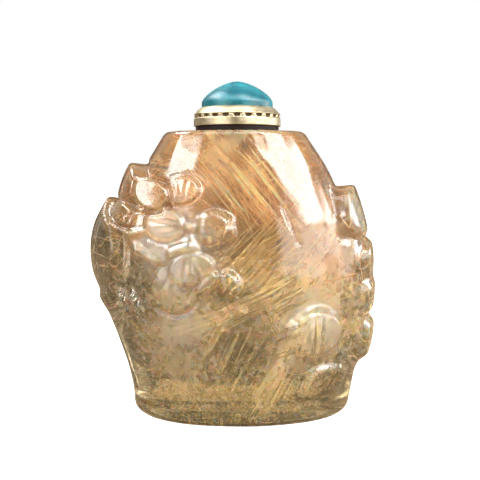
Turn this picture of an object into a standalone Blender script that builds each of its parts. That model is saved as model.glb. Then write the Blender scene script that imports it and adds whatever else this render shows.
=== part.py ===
"""Carved snuff bottle of rutilated quartz with its stopper.

Metres, +Z up. The front faces -Y, and the origin is on the foot's underside, below the middle of the mouth.
The bottle is one hollow stone. Its stopper is a turquoise-coloured cabochon in a gilt bezel,
on a dark collar, over a cork that stands in the mouth.
"""

import math
from collections import namedtuple

import bmesh
import bpy
import numpy as np

MM = 0.001

# Faces that meet more sharply than this show an edge
SHARP_ANGLE = math.radians(35)
# What rests on or in another piece keeps this much air to it
GAP = 0.2 * MM

# The bottle
BODY_HEIGHT = 49.5 * MM
FOOT_EDGE_RADIUS = 1.4 * MM
TOP_EDGE_RADIUS = 0.7 * MM
# The body before it is carved, in millimetres. The shoulders run straight down from the flat top.
BODY_STATIONS = (
    # height, reach to the left, reach to the right, half depth, squareness of the oval
    (0.0, 18.6, 20.0, 14.0, 2.2),
    (4.0, 18.9, 20.7, 14.7, 2.2),
    (8.0, 19.7, 21.4, 15.3, 2.25),
    (13.0, 21.3, 22.2, 15.8, 2.3),
    (19.5, 23.7, 22.6, 16.0, 2.3),
    (26.0, 24.6, 22.4, 15.9, 2.3),
    (32.0, 23.4, 21.1, 15.2, 2.3),
    (37.0, 20.4, 18.9, 14.0, 2.35),
    (43.5, 16.4, 15.7, 12.1, 2.45),
    (49.5, 12.7, 11.8, 10.0, 2.6),
)
SIDE_ROWS = 130
EDGE_ROWS = 4
COLUMNS = 240
OUTER_TRIANGLES = 7200

# The carving keeps clear of the foot and of the flat top, and fades in over these heights
CARVING_LOW = (1.6 * MM, 4.0 * MM)
CARVING_HIGH = (48.0 * MM, 46.0 * MM)
CHANNEL_WIDTH = 0.45
# Where a raised rim runs, as a share of the way from a form's middle to its outline, and its width
RIM_PLACE = 0.8
RIM_WIDTH = 0.14
# A petal's notch, in radians seen from its middle
NOTCH_WIDTH = 0.25

# One raised form of the carving, in millimetres, its turn in degrees anticlockwise from the right.
# around is how far round the body its middle lies from the middle of its face, and up its height.
# reach runs from its middle to its outer end, towards turn, and breadth is half its width across that.
# level is how far its edge stands out, lean what its outer end adds and its inner end loses, swell what its
# middle adds, rim a raised band inside the edge, channel the depth of the cut round it, edge the width of
# its side, square the squareness of its outline, notch the share cut from a petal's outer end, point 1 on
# a leaf whose two ends are sharp, and rough the unevenness of a rock's outline.
Form = namedtuple(
    "Form",
    "around up reach breadth turn level swell lean rim channel edge square notch point rough",
    defaults=(0.0, 1.0, 0.6, 0.0, 0.0, 0.3, 0.5, 2.0, 0.0, 0, 0.0),
)

BLOSSOM_AND_LEAVES = (
    # the ground that the flank and the blossom rise from
    Form(-27.0, 30.0, 13.0, 9.0, 90, level=0.6, swell=0.4, channel=0, edge=3.0),
    Form(-10.0, 31.0, 11.0, 9.0, 90, level=0.2, swell=0.3, channel=0, edge=3.0),
    # the leaf that stands out behind the bud
    Form(-21.2, 40.0, 4.2, 5.4, 96, level=1.35, swell=0.9, lean=0.8, edge=1.6),
    # the broad leaf folded over the flank
    Form(-28.8, 29.6, 8.0, 9.2, 92, level=1.4, swell=0.7, lean=1.3, edge=1.2, square=2.3),
    # the pointed leaf under the bud
    Form(-20.6, 35.2, 5.8, 2.0, 168, level=1.2, swell=0.5, channel=0.1, point=1),
    # the leaves under the blossom
    Form(-10.1, 24.0, 4.7, 4.2, 255, level=0.6, swell=0.4, channel=0.35, notch=0.04),
    Form(-1.2, 24.8, 3.0, 2.1, 128, level=0.7, swell=0.4, channel=0.1, edge=1.2),
    # the two stems down the flank
    Form(-19.4, 20.6, 3.6, 0.8, 118, level=0.4, swell=0.7, point=1),
    Form(-17.0, 20.9, 3.2, 0.7, 120, level=0.4, swell=0.6, point=1),
    # the blossom's petals, lower left, lowest, highest, left and right
    Form(-12.3, 31.6, 7.2, 4.0, -25, level=0.7, swell=0.2, rim=0.1, channel=0.1),
    Form(-7.2, 27.1, 2.9, 4.3, 278, level=0.9, swell=0.4, lean=0.2, rim=0.1, channel=0.1, notch=0.06),
    Form(-9.1, 39.3, 2.8, 3.8, 96, level=0.9, swell=0.3, rim=0.05, channel=0.1, edge=0.8, notch=0.05),
    Form(-11.6, 33.9, 4.1, 3.1, 174, level=1.2, swell=0.15, lean=0.2, channel=0.2, edge=1.0, notch=0.04),
    Form(-3.7, 33.4, 4.2, 3.7, 8, level=1.1, swell=0.2, channel=0.1, edge=2.0, notch=0.07),
    # its eye
    Form(-7.6, 33.6, 1.1, 1.1, 0, level=0.9, swell=0.4, channel=0.15),
    # the stem that slants up between the leaves
    Form(-4.8, 24.9, 0.8, 2.4, 129, level=1.0, swell=0.05, lean=-0.38, channel=0.1, edge=0.3),
    # the round bud, its face turned a little to the front
    Form(-14.1, 38.4, 3.1, 2.7, 165, level=1.9, swell=-0.2, lean=0.9, channel=0.7),
)

ROCKS = (
    # the mass that the rocks at the right stand on
    Form(27.0, 23.5, 17.0, 9.5, 92, level=0.8, swell=0.4, channel=0, edge=3.0, square=2.6),
    # the squared ledge at the shoulder, and the three rocks stepping down below it
    Form(23.9, 35.3, 4.7, 6.6, 84, level=2.3, swell=0.5, lean=0.6, channel=0, edge=1.3, square=3.4),
    Form(28.4, 27.0, 4.6, 6.8, 90, level=1.5, swell=0.7, lean=0.5, channel=0, edge=2.2, square=2.4),
    Form(27.2, 21.2, 4.0, 7.2, 96, level=1.5, swell=0.6, lean=0.2, channel=0, edge=2.2, square=2.4),
    Form(28.0, 13.4, 4.6, 7.2, 88, level=1.4, swell=0.8, lean=0.3, channel=0, edge=2.0, square=2.6),
    # the rounded boulder and the flat one under it
    Form(13.1, 16.4, 4.7, 5.6, 90, level=0.2, swell=1.8, channel=0, edge=1.6, rough=0.02),
    Form(14.6, 7.6, 6.8, 3.1, 12, level=0.35, swell=0.4, channel=0.05, edge=1.2, rough=0.03),
)

# Behind: one open blossom with its leaves, a bud and a stem, and rocks at the foot
BACK_BLOSSOM = (1.5, 29.5)
BACK_BLOSSOM_RADIUS = 4.2
BACK_PETAL = (3.3, 3.3)
BACK_FORMS = (
    Form(-7.5, 22.0, 6.2, 2.5, 212, level=0.7, swell=0.4, rim=0.15, point=1),
    Form(9.5, 21.6, 6.2, 2.5, -38, level=0.7, swell=0.4, rim=0.15, point=1),
    Form(7.0, 37.6, 4.4, 0.8, 62, level=0.3, swell=0.5, point=1),
    Form(9.4, 40.4, 2.4, 2.1, 0, level=0.9, swell=1.2),
    Form(-16.5, 12.0, 5.2, 6.6, 90, level=0.6, swell=0.9, lean=0.2, square=2.4, rough=0.07),
    Form(-7.6, 8.2, 3.4, 4.8, 90, level=0.5, swell=0.6, square=2.4, rough=0.07),
    Form(-21.0, 20.5, 3.8, 4.2, 90, level=0.8, swell=0.6, square=2.4, rough=0.08),
)

# Incised strokes: where each starts and ends round the body and up it, in millimetres
STROKES = (
    ((7.9, 36.8), (10.2, 31.1)),
    ((17.8, 39.6), (18.4, 31.4)),
)
STROKE_WIDTH = 0.45
STROKE_DEPTH = 0.5
# Raised lines, the folded edges of the leaves under the bud and the blossom
RIDGES = (
    ((-22.0, 33.3), (-17.7, 32.0)),
    ((-17.7, 32.0), (-15.3, 32.6)),
    ((-18.6, 31.4), (-16.4, 29.6)),
    ((-16.4, 29.6), (-13.2, 28.1)),
    ((-10.6, 29.4), (-7.6, 30.5)),
)
RIDGE_WIDTH = 0.55
RIDGE_HEIGHT = 0.7

# The hollow, in millimetres. It closes in at the shoulders to the round mouth.
MOUTH_RADIUS = 3.6
FLOOR_THICKNESS = 6.0 * MM
HOLLOW_STATIONS = (
    # height over its floor, half width, half depth
    (0.0, 3.0, 2.0),
    (0.6, 8.5, 5.0),
    (2.6, 12.6, 7.6),
    (7.0, 15.2, 9.2),
    (14.0, 16.6, 9.9),
    (21.0, 16.6, 9.9),
    (27.5, 14.4, 9.0),
    (32.0, 10.8, 7.4),
    (35.0, 7.0, 5.6),
    (37.0, 4.4, 4.2),
    (38.4, MOUTH_RADIUS, MOUTH_RADIUS),
)
HOLLOW_SQUARENESS = 2.0
HOLLOW_COLUMNS = 32
CUTTER_RISE = 2.0 * MM

# The stopper, from the bottle's flat top upward
COLLAR_RADIUS = 7.4 * MM
COLLAR_THICKNESS = 0.65 * MM
COLLAR_EDGE = 0.15 * MM
COLLAR_BOTTOM = BODY_HEIGHT + GAP
COLLAR_TOP = COLLAR_BOTTOM + COLLAR_THICKNESS
BEZEL_RADIUS = 7.72 * MM
BEZEL_LIP_RADIUS = 6.85 * MM
BEZEL_BOTTOM = COLLAR_TOP + GAP
BEZEL_ROW_TOP = 52.6 * MM
BEZEL_ROW_HEIGHT = 0.75 * MM
BEZEL_ROW_DEPTH = 0.35 * MM
BEZEL_TOP = 53.9 * MM
BEZEL_LIP_HEIGHT = 0.35 * MM
BEZEL_FLOOR = 51.6 * MM
BEZEL_EDGE = 0.1 * MM
STONE_RADIUS = 6.3 * MM
STONE_BOTTOM = BEZEL_FLOOR + GAP
STONE_GIRDLE = 54.7 * MM
STONE_TOP = 58.5 * MM
STONE_ROUNDNESS = 1.5
STONE_ROWS = 7
STONE_EDGE = 0.3 * MM
CORK_TOP_RADIUS = 3.35 * MM
CORK_END_RADIUS = 3.0 * MM
CORK_LENGTH = 5.2 * MM
CORK_EDGE = 0.3 * MM
TURNED_SEGMENTS = 32


def clear_scene():
    for obj in list(bpy.data.objects):
        bpy.data.objects.remove(obj)


def material(name, colour, roughness, metallic=0.0, transmission=0.0):
    made = bpy.data.materials.new(name)
    made.use_nodes = True
    shader = made.node_tree.nodes["Principled BSDF"]
    shader.inputs["Base Color"].default_value = (*colour, 1.0)
    shader.inputs["Roughness"].default_value = roughness
    shader.inputs["Metallic"].default_value = metallic
    shader.inputs["Transmission Weight"].default_value = transmission
    return made


def add_object(name, mesh, made_of):
    mesh.materials.append(made_of)
    obj = bpy.data.objects.new(name, mesh)
    bpy.context.scene.collection.objects.link(obj)
    return obj


def smooth_mesh(name, bm):
    mesh = bpy.data.meshes.new(name)
    bm.to_mesh(mesh)
    bm.free()
    mesh.shade_smooth()
    mesh.set_sharp_from_angle(angle=SHARP_ANGLE)
    return mesh


def smooth_step(t):
    t = np.clip(t, 0, 1)
    return t * t * (3 - 2 * t)


def smooth_curve(stations, heights):
    """The stations' values at each height, along a smooth curve through the stations."""
    table = np.array(stations, float)
    known, values = table[:, 0], table[:, 1:]
    slopes = np.gradient(values, known, axis=0)
    place = np.clip(np.searchsorted(known, heights, side="right") - 1, 0, len(known) - 2)
    span = (known[place + 1] - known[place])[:, None]
    t = np.clip((heights - known[place])[:, None] / span, 0, 1)
    return (
        values[place] * (2 * t**3 - 3 * t**2 + 1)
        + slopes[place] * span * (t**3 - 2 * t**2 + t)
        + values[place + 1] * (3 * t**2 - 2 * t**3)
        + slopes[place + 1] * span * (t**3 - t**2)
    )


def oval(left, right, depth, squareness, columns, inset=0.0):
    """An oval cut across the body, with its points evenly spaced.

    It runs from the middle of the back by the left to the front. Returns its points and how far round
    each one lies from the middle of the front and of the back, positive to the right of someone who
    faces that side.
    """
    turn = np.linspace(-math.pi, math.pi, 8 * columns + 1)
    power = 2 / squareness
    across = np.sign(np.sin(turn)) * np.abs(np.sin(turn)) ** power
    x = across * np.where(across < 0, left, right)
    y = -np.sign(np.cos(turn)) * np.abs(np.cos(turn)) ** power * depth
    travelled = np.concatenate([[0], np.cumsum(np.hypot(np.diff(x), np.diff(y)))])
    even = np.linspace(0, travelled[-1], columns + 1)[:-1]
    points = np.stack([np.interp(even, travelled, x), np.interp(even, travelled, y)], axis=1)
    if inset:
        along = np.roll(points, -1, axis=0) - np.roll(points, 1, axis=0)
        along /= np.linalg.norm(along, axis=1, keepdims=True)
        points += inset * np.stack([-along[:, 1], along[:, 0]], axis=1)
    front = even - np.interp(0, turn, travelled)
    back = np.where(even < travelled[-1] / 2, even, even - travelled[-1])
    return points, front, back


def body_rows():
    """Height and inset of each row of points up the body, round its foot edge and its top edge."""
    quarter = np.linspace(0, math.pi / 2, EDGE_ROWS + 1)[:-1]
    rows = []
    for turn in quarter:
        height = FOOT_EDGE_RADIUS * (1 - math.cos(turn))
        rows.append((height, FOOT_EDGE_RADIUS * (1 - math.sin(turn))))
    for height in np.linspace(FOOT_EDGE_RADIUS, BODY_HEIGHT - TOP_EDGE_RADIUS, SIDE_ROWS):
        rows.append((height, 0.0))
    for turn in quarter[::-1]:
        height = BODY_HEIGHT - TOP_EDGE_RADIUS * (1 - math.cos(turn))
        rows.append((height, TOP_EDGE_RADIUS * (1 - math.sin(turn))))
    return rows


def plain_body():
    """The uncarved body's points, row by row, and how far round from the front and the back each lies."""
    rows = body_rows()
    heights = np.array([height for height, _ in rows])
    shape = smooth_curve(BODY_STATIONS, heights / MM)
    points, fronts, backs = [], [], []
    for (height, inset), (left, right, depth, squareness) in zip(rows, shape):
        ring, front, back = oval(left * MM, right * MM, depth * MM, squareness, COLUMNS, inset)
        points.append(np.column_stack([ring, np.full(COLUMNS, height)]))
        fronts.append(front)
        backs.append(back)
    return np.array(points), np.array(fronts), np.array(backs)


def spread(form, along, across):
    """How near each place is to the form's outline: 0 at its middle, 1 on the outline, more beyond it."""
    along, across = along / form.reach, across / form.breadth
    if form.point:
        # two arcs that cross at the form's ends
        slim = form.breadth / form.reach
        radius = (1 + slim**2) / (2 * slim)
        away = np.hypot(along, np.abs(across) * slim + radius - slim)
        return 1 + (away - radius) / slim
    square = form.square
    out = (np.abs(along) ** square + np.abs(across) ** square) ** (1 / square)
    bearing = np.arctan2(across, along)
    outline = 1 - form.notch * (np.exp(-((bearing / NOTCH_WIDTH) ** 2)) + 1 - np.cos(bearing))
    shift = form.around + form.up
    outline += form.rough * (np.sin(3 * bearing + shift) + 0.7 * np.sin(5 * bearing + 2 * shift))
    return out / outline


def carve(relief, around, up, form):
    """The relief, in millimetres, with one more form raised over it."""
    turn = math.radians(form.turn)
    along = (around - form.around) * math.cos(turn) + (up - form.up) * math.sin(turn)
    across = (up - form.up) * math.cos(turn) - (around - form.around) * math.sin(turn)
    out = spread(form, along, across)
    beyond = (out - 1) * min(form.reach, form.breadth)
    own = form.level + form.lean * np.clip(along / form.reach, -1, 1)
    own += form.swell * np.sqrt(np.clip(1 - out**2, 0, 1))
    own += form.rim * np.exp(-(((out - RIM_PLACE) / RIM_WIDTH) ** 2))
    ground = relief - form.channel * np.exp(-((np.clip(beyond, 0, None) / CHANNEL_WIDTH) ** 2))
    return ground + (own - ground) * smooth_step(-beyond / form.edge)


def incise(relief, around, up, start, end, width, depth):
    """The relief with one stroke cut into it, or raised on it by a depth below zero."""
    run = np.subtract(end, start)
    share = np.clip(((around - start[0]) * run[0] + (up - start[1]) * run[1]) / (run @ run), 0, 1)
    away = np.hypot(around - start[0] - share * run[0], up - start[1] - share * run[1])
    return relief - depth * np.exp(-((away / width) ** 2))


def back_blossom():
    """Five cupped petals round a small boss."""
    middle, height = BACK_BLOSSOM
    forms = []
    for petal in range(5):
        turn = 90 + 72 * petal
        around = middle + BACK_BLOSSOM_RADIUS * math.cos(math.radians(turn))
        up = height + BACK_BLOSSOM_RADIUS * math.sin(math.radians(turn))
        forms.append(Form(around, up, *BACK_PETAL, turn, level=0.8, swell=0.1, lean=0.2, rim=0.4, notch=0.08))
    forms.append(Form(middle, height, 1.5, 1.5, 0, level=0.9, swell=0.6))
    return forms


def carved_body():
    """The body's points with the carving raised along the surface's own direction."""
    points, front, back = plain_body()
    heights = points[:, :, 2]
    up = heights / MM
    relief = np.zeros(heights.shape)
    for form in BLOSSOM_AND_LEAVES + ROCKS:
        relief = carve(relief, front / MM, up, form)
    for form in back_blossom() + list(BACK_FORMS):
        relief = carve(relief, back / MM, up, form)
    for start, end in STROKES:
        relief = incise(relief, front / MM, up, start, end, STROKE_WIDTH, STROKE_DEPTH)
    for start, end in RIDGES:
        relief = incise(relief, front / MM, up, start, end, RIDGE_WIDTH, -RIDGE_HEIGHT)
    for start, full in (CARVING_LOW, CARVING_HIGH):
        relief *= smooth_step((heights - start) / (full - start))
    along = np.roll(points, -1, axis=1) - np.roll(points, 1, axis=1)
    outward = np.cross(along, np.gradient(points, axis=0))
    outward /= np.linalg.norm(outward, axis=2, keepdims=True)
    return points + outward * relief[:, :, None] * MM


def rings_mesh(name, rings):
    """A closed mesh through rings of points, lowest first, each running anticlockwise from above."""
    bm = bmesh.new()
    made = [[bm.verts.new(point) for point in ring] for ring in rings]
    for low, high in zip(made, made[1:]):
        for i in range(len(low)):
            j = (i + 1) % len(low)
            bm.faces.new((low[i], low[j], high[j], high[i]))
    for ring, order in ((made[0], -1), (made[-1], 1)):
        cap = bm.faces.new(ring[::order])
        bmesh.ops.poke(bm, faces=[cap])
    return smooth_mesh(name, bm)


def hollow_cutter():
    """The hollow and the mouth over it, as a guide that is cut from the bottle."""
    rings = []
    for height, width, depth in HOLLOW_STATIONS:
        ring, *_ = oval(width * MM, width * MM, depth * MM, HOLLOW_SQUARENESS, HOLLOW_COLUMNS)
        rings.append(np.column_stack([ring, np.full(HOLLOW_COLUMNS, FLOOR_THICKNESS + height * MM)]))
    above = rings[-1].copy()
    above[:, 2] = BODY_HEIGHT + CUTTER_RISE
    rings.append(above)
    guide = material("guide", (0.5, 0.5, 0.5), 0.5)
    cutter = add_object("hollow_cutter", rings_mesh("hollow_cutter", rings), guide)
    cutter.hide_render = True
    cutter.display_type = "WIRE"
    return cutter


def make_bottle():
    quartz = material("rutilated_quartz", (0.62, 0.43, 0.27), 0.08, transmission=0.9)
    bottle = add_object("bottle", rings_mesh("bottle", carved_body()), quartz)
    triangles = sum(len(face.vertices) - 2 for face in bottle.data.polygons)
    fewer = bottle.modifiers.new("fewer_faces", "DECIMATE")
    fewer.decimate_type = "COLLAPSE"
    fewer.ratio = OUTER_TRIANGLES / triangles
    cut = bottle.modifiers.new("hollow", "BOOLEAN")
    cut.operation = "DIFFERENCE"
    cut.object = hollow_cutter()
    return bottle


def turned(name, profile, made_of):
    """A round piece on the upright axis. Its profile of radius and height starts and ends on the axis."""
    bm = bmesh.new()
    rings = []
    for radius, height in profile:
        if radius == 0:
            rings.append([bm.verts.new((0, 0, height))])
            continue
        ring = []
        for step in range(TURNED_SEGMENTS):
            angle = 2 * math.pi * step / TURNED_SEGMENTS
            ring.append(bm.verts.new((radius * math.cos(angle), radius * math.sin(angle), height)))
        rings.append(ring)
    for low, high in zip(rings, rings[1:]):
        for i in range(TURNED_SEGMENTS):
            j = (i + 1) % TURNED_SEGMENTS
            if len(low) == 1:
                bm.faces.new((low[0], high[j], high[i]))
            elif len(high) == 1:
                bm.faces.new((low[i], low[j], high[0]))
            else:
                bm.faces.new((low[i], low[j], high[j], high[i]))
    return add_object(name, smooth_mesh(name, bm), made_of)


def make_collar():
    edge = COLLAR_EDGE
    profile = (
        (0, COLLAR_BOTTOM),
        (COLLAR_RADIUS - edge, COLLAR_BOTTOM),
        (COLLAR_RADIUS, COLLAR_BOTTOM + edge),
        (COLLAR_RADIUS, COLLAR_TOP - edge),
        (COLLAR_RADIUS - edge, COLLAR_TOP),
        (0, COLLAR_TOP),
    )
    return turned("stopper_collar", profile, material("dark_collar", (0.03, 0.022, 0.018), 0.45))


def make_bezel():
    """A cup: a plain band, the sunk row over it, a sloping band, and the lip round the stone."""
    inner = STONE_RADIUS + GAP
    sunk = BEZEL_RADIUS - BEZEL_ROW_DEPTH
    row_bottom = BEZEL_ROW_TOP - BEZEL_ROW_HEIGHT
    profile = (
        (0, BEZEL_BOTTOM),
        (BEZEL_RADIUS - BEZEL_EDGE, BEZEL_BOTTOM),
        (BEZEL_RADIUS, BEZEL_BOTTOM + BEZEL_EDGE),
        (BEZEL_RADIUS, row_bottom - BEZEL_EDGE),
        (sunk, row_bottom),
        (sunk, BEZEL_ROW_TOP - BEZEL_EDGE),
        (BEZEL_RADIUS - BEZEL_EDGE, BEZEL_ROW_TOP),
        (BEZEL_LIP_RADIUS, BEZEL_TOP - BEZEL_LIP_HEIGHT),
        (inner + BEZEL_EDGE, BEZEL_TOP),
        (inner, BEZEL_TOP - BEZEL_EDGE),
        (inner, BEZEL_FLOOR),
        (0, BEZEL_FLOOR),
    )
    return turned("stopper_bezel", profile, material("gilt_metal", (0.83, 0.69, 0.42), 0.28, metallic=1.0))


def make_cabochon():
    """A flat base, a short straight girdle and a dome a little more pointed than round."""
    rise = STONE_TOP - STONE_GIRDLE
    profile = [
        (0, STONE_BOTTOM),
        (STONE_RADIUS - STONE_EDGE, STONE_BOTTOM),
        (STONE_RADIUS, STONE_BOTTOM + STONE_EDGE),
    ]
    for row in range(STONE_ROWS):
        angle = math.pi / 2 * row / STONE_ROWS
        radius = STONE_RADIUS * math.cos(angle) ** (2 / STONE_ROUNDNESS)
        profile.append((radius, STONE_GIRDLE + rise * math.sin(angle) ** (2 / STONE_ROUNDNESS)))
    profile.append((0, STONE_TOP))
    return turned("stopper_cabochon", profile, material("turquoise_stone", (0.03, 0.25, 0.27), 0.15))


def make_cork():
    top = BODY_HEIGHT
    end = top - CORK_LENGTH
    profile = (
        (0, end),
        (CORK_END_RADIUS - CORK_EDGE, end),
        (CORK_END_RADIUS, end + CORK_EDGE),
        (CORK_TOP_RADIUS, top),
        (0, top),
    )
    return turned("stopper_cork", profile, material("cork", (0.48, 0.32, 0.19), 0.9))


def main():
    clear_scene()
    make_bottle()
    make_collar()
    make_bezel()
    make_cabochon()
    make_cork()


main()
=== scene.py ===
"""Looks of a carved snuff bottle of rutilated quartz, with its cabochon stopper.

The stone is one closed mesh: polished outside, left matte where it was hollowed. The needles and veils are
sealed in its walls. Metres, +Z up, the front faces -Y.
"""

import math
from collections import namedtuple

import bpy
import numpy as np
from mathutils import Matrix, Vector
from mathutils.bvhtree import BVHTree


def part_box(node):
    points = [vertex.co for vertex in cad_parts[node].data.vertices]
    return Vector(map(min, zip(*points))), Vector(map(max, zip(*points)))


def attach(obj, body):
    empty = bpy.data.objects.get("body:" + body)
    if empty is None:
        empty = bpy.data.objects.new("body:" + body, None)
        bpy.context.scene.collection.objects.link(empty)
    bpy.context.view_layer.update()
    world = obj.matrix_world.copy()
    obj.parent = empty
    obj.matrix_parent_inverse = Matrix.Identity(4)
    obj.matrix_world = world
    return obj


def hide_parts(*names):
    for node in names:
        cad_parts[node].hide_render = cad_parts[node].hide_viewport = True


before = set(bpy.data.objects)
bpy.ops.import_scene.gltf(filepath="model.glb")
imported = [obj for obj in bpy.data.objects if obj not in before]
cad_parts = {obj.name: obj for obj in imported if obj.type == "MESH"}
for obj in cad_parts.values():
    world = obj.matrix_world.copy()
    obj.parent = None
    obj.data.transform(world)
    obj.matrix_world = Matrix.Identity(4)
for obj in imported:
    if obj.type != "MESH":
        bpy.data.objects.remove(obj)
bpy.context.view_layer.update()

MM = 0.001

# The body's sizes, as the solid has them
BODY_HEIGHT = 49.5 * MM
FOOT_EDGE_RADIUS = 1.4 * MM
TOP_EDGE_RADIUS = 0.7 * MM
# The body before it is carved, in millimetres: height, reach to the left, reach to the right, half depth and
# squareness of the oval
BODY_STATIONS = (
    (0, 18.6, 20, 14, 2.2),
    (4, 18.9, 20.7, 14.7, 2.2),
    (8, 19.7, 21.4, 15.3, 2.25),
    (13, 21.3, 22.2, 15.8, 2.3),
    (19.5, 23.7, 22.6, 16, 2.3),
    (26, 24.6, 22.4, 15.9, 2.3),
    (32, 23.4, 21.1, 15.2, 2.3),
    (37, 20.4, 18.9, 14, 2.35),
    (43.5, 16.4, 15.7, 12.1, 2.45),
    (49.5, 12.7, 11.8, 10, 2.6),
)
# How fine the mesh of the stone is
COLUMNS = 384
SIDE_ROWS = 176
EDGE_ROWS = 6
HOLLOW_ROWS = 36

# Heights between which the carving sets in over the foot, and fades out under the top
CARVING_LOW = (1.6 * MM, 4.0 * MM)
CARVING_HIGH = (48.0 * MM, 46.0 * MM)
# Width of the cut round a form, in millimetres, place and width of its rim as shares of the way to its
# outline, and width of a petal's notch in radians
CHANNEL_WIDTH = 0.45
RIM_PLACE = 0.8
RIM_WIDTH = 0.14
NOTCH_WIDTH = 0.25

# One raised form of the carving, in millimetres, its turn in degrees anticlockwise from the right.
# around is how far round the body its middle lies from the middle of its face, and up its height.
# reach runs from its middle to its outer end, towards turn, and breadth is half its width across that.
# level is how far its edge stands out, lean what its outer end adds and its inner end loses, swell what its
# middle adds, rim a raised band inside the edge, channel the depth of the cut round it, edge the width of
# its side, square the squareness of its outline, notch the share cut from a petal's outer end, point 1 on
# a leaf whose two ends are sharp, rough the unevenness of a rock's outline, and veins the fine lines on it.
Form = namedtuple(
    "Form",
    "around up reach breadth turn level swell lean rim channel edge square notch point rough veins",
    defaults=(0.0, 1.0, 0.6, 0.0, 0.0, 0.3, 0.5, 2.0, 0.0, 0, 0.0, 0),
)

BLOSSOM_AND_LEAVES = (
    # the ground that the flank and the blossom rise from
    Form(-27, 30, 13, 9, 90, level=0.6, swell=0.4, channel=0, edge=3),
    Form(-10, 31, 11, 9, 90, level=0.2, swell=0.3, channel=0, edge=3),
    # the leaf that stands out behind the bud
    Form(-21.2, 40, 4.2, 5.4, 96, level=1.35, swell=0.9, lean=0.8, edge=1.6),
    # the broad leaf folded over the flank
    Form(-28.8, 29.6, 8, 9.2, 92, level=1.4, swell=0.7, lean=1.3, edge=1.2, square=2.3, veins=5),
    # the pointed leaf under the bud
    Form(-20.6, 35.2, 5.8, 2, 168, level=1.2, swell=0.5, channel=0.1, point=1, veins=1),
    # the leaves under the blossom
    Form(-10.1, 24, 4.7, 4.2, 255, level=0.6, swell=0.4, channel=0.35, notch=0.04, veins=5),
    Form(-1.2, 24.8, 3, 2.1, 128, level=0.7, swell=0.4, channel=0.1, edge=1.2, veins=3),
    # the two stems down the flank
    Form(-19.4, 20.6, 3.6, 0.8, 118, level=0.4, swell=0.7, point=1),
    Form(-17, 20.9, 3.2, 0.7, 120, level=0.4, swell=0.6, point=1),
    # the blossom's petals, lower left, lowest, highest, left and right
    Form(-12.3, 31.6, 7.2, 4, -25, level=0.7, swell=0.2, rim=0.1, channel=0.1),
    Form(-7.2, 27.1, 2.9, 4.3, 278, level=0.9, swell=0.4, lean=0.2, rim=0.1, channel=0.1, notch=0.06,
         veins=3),
    Form(-9.1, 39.3, 2.8, 3.8, 96, level=0.9, swell=0.3, rim=0.05, channel=0.1, edge=0.8, notch=0.05,
         veins=3),
    Form(-11.6, 33.9, 4.1, 3.1, 174, level=1.2, swell=0.15, lean=0.2, channel=0.2, edge=1, notch=0.04,
         veins=3),
    Form(-3.7, 33.4, 4.2, 3.7, 8, level=1.1, swell=0.2, channel=0.1, edge=2, notch=0.07, veins=3),
    # its eye
    Form(-7.6, 33.6, 1.1, 1.1, 0, level=0.9, swell=0.4, channel=0.15),
    # the stem that slants up between the leaves
    Form(-4.8, 24.9, 1, 2.5, 129, level=1.35, swell=0.05, lean=-0.45, channel=0.1, edge=0.3),
    # the round bud, its face turned a little to the front
    Form(-14.1, 38.4, 3.1, 2.7, 165, level=1.9, swell=-0.2, lean=0.9, channel=0.7),
)

ROCKS = (
    # the mass that the rocks at the right stand on
    Form(27, 23.5, 17, 9.5, 92, level=0.8, swell=0.4, channel=0, edge=3, square=2.6),
    # the squared ledge at the shoulder, and the three rocks stepping down below it
    Form(23.9, 35.3, 4.7, 6.6, 84, level=2.3, swell=0.5, lean=0.6, channel=0, edge=1.3, square=3.4),
    Form(28.4, 27, 4.6, 6.8, 90, level=1.5, swell=0.7, lean=0.5, channel=0, edge=2.2, square=2.4),
    Form(27.2, 21.2, 4, 7.2, 96, level=1.5, swell=0.6, lean=0.2, channel=0, edge=2.2, square=2.4),
    Form(28, 13.4, 4.6, 7.2, 88, level=1.4, swell=0.8, lean=0.3, channel=0, edge=2, square=2.6),
    # the rounded boulder and the flat one under it
    Form(13.1, 16.4, 4.7, 5.6, 90, level=0.2, swell=1.8, channel=0, edge=1.6, rough=0.02),
    Form(14.6, 7.6, 6.8, 3.1, 12, level=0.35, swell=0.4, channel=0.05, edge=1.2, rough=0.03),
)

# Behind: one open blossom with its leaves, a bud and a stem, and rocks at the foot
BACK_BLOSSOM = (1.5, 29.5)
BACK_BLOSSOM_RADIUS = 4.2
BACK_PETAL = (3.3, 3.3)
BACK_FORMS = (
    Form(-7.5, 22, 6.2, 2.5, 212, level=0.7, swell=0.4, rim=0.15, point=1, veins=1),
    Form(9.5, 21.6, 6.2, 2.5, -38, level=0.7, swell=0.4, rim=0.15, point=1, veins=1),
    Form(7, 37.6, 4.4, 0.8, 62, level=0.3, swell=0.5, point=1),
    Form(9.4, 40.4, 2.4, 2.1, 0, level=0.9, swell=1.2),
    Form(-16.5, 12, 5.2, 6.6, 90, level=0.6, swell=0.9, lean=0.2, square=2.4, rough=0.07),
    Form(-7.6, 8.2, 3.4, 4.8, 90, level=0.5, swell=0.6, square=2.4, rough=0.07),
    Form(-21, 20.5, 3.8, 4.2, 90, level=0.8, swell=0.6, square=2.4, rough=0.08),
)

# Incised strokes: where each starts and ends round the body and up it, in millimetres
STROKES = (
    ((7.9, 36.8), (10.2, 31.1)),
    ((17.8, 39.6), (18.4, 31.4)),
)
STROKE_WIDTH = 0.45
STROKE_DEPTH = 0.5
# Raised lines, the folded edges of the leaves under the bud and the blossom
RIDGES = (
    ((-22, 33.3), (-17.7, 32)),
    ((-17.7, 32), (-15.3, 32.6)),
    ((-18.6, 31.4), (-16.4, 29.6)),
    ((-16.4, 29.6), (-13.2, 28.1)),
    ((-10.6, 29.4), (-7.6, 30.5)),
)
RIDGE_WIDTH = 0.55
RIDGE_HEIGHT = 0.7

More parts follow.
